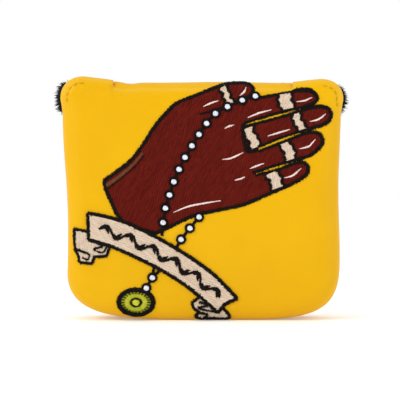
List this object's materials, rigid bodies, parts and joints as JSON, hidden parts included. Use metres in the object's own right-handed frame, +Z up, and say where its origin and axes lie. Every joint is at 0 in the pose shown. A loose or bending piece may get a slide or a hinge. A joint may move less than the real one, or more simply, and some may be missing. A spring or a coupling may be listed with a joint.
{
  "type": "putter head cover",
  "caption": "Square padded cover for a mallet putter head, with an embroidered face and a fold-over lid that closes on magnets at the back.",
  "frame": {"origin": "middle of the flat base that the cover stands on", "axes": "+X to the right across the embroidered face, the face looks along -Y, the flap hangs at +Y, +Z up"},
  "size_m": [0.142, 0.0504, 0.1222],
  "materials": {
    "leather": "smooth yellow PU leather, satin",
    "foam": "open foam sheet",
    "fleece": "black plush pile",
    "backing": "non-woven sheet",
    "yellow_thread": "polyester sewing thread",
    "magnet": "nickel plated",
    "magnet_cup": "moulded",
    "maroon_thread": "rayon embroidery thread",
    "black_thread": "rayon embroidery thread",
    "cream_thread": "rayon embroidery thread",
    "silver_thread": "rayon embroidery thread",
    "olive_thread": "rayon embroidery thread"
  },
  "bodies": {
    "cover": {"back_foam": "foam", "back_leather": "leather", "back_lining": "fleece", "back_magnet_cup_left": "magnet_cup", "back_magnet_cup_right": "magnet_cup", "back_magnet_left": "magnet", "back_magnet_right": "magnet", "back_rim_stitching": "yellow_thread", "bead_string": "silver_thread", "bead_string_end": "silver_thread", "ear_stitching_left": "yellow_thread", "ear_stitching_right": "yellow_thread", "embroidery_backing": "backing", "front_foam": "foam", "front_leather": "leather", "front_lining": "fleece", "gusset_foam": "foam", "gusset_leather": "leather", "gusset_lining": "fleece", "hand_fill": "maroon_thread", "hand_outline": "black_thread", "medallion": "olive_thread", "pendant_string": "silver_thread", "ribbon": "cream_thread", "ribbon_outline": "black_thread", "ribbon_tail_left": "cream_thread", "ribbon_tail_right": "cream_thread"},
    "roof": {"roof_foam": "foam", "roof_leather": "leather", "roof_lining": "fleece", "roof_stitching_left": "yellow_thread", "roof_stitching_right": "yellow_thread"},
    "flap": {"flap_foam": "foam", "flap_leather": "leather", "flap_lining": "fleece", "flap_magnet_cup_left": "magnet_cup", "flap_magnet_cup_right": "magnet_cup", "flap_magnet_left": "magnet", "flap_magnet_right": "magnet", "flap_stitching": "yellow_thread"}
  },
  "joints": [
    {"name": "roof_lift", "type": "hinge", "parent": "cover", "child": "roof", "pos_m": [0, -0.01855, 0.11721], "axis": [1, 0, 0], "range_deg": [0, 100]},
    {"name": "flap_lift", "type": "hinge", "parent": "roof", "child": "flap", "pos_m": [0, 0.02292, 0.11742], "axis": [1, 0, 0], "range_deg": [0, 90]}
  ]
}
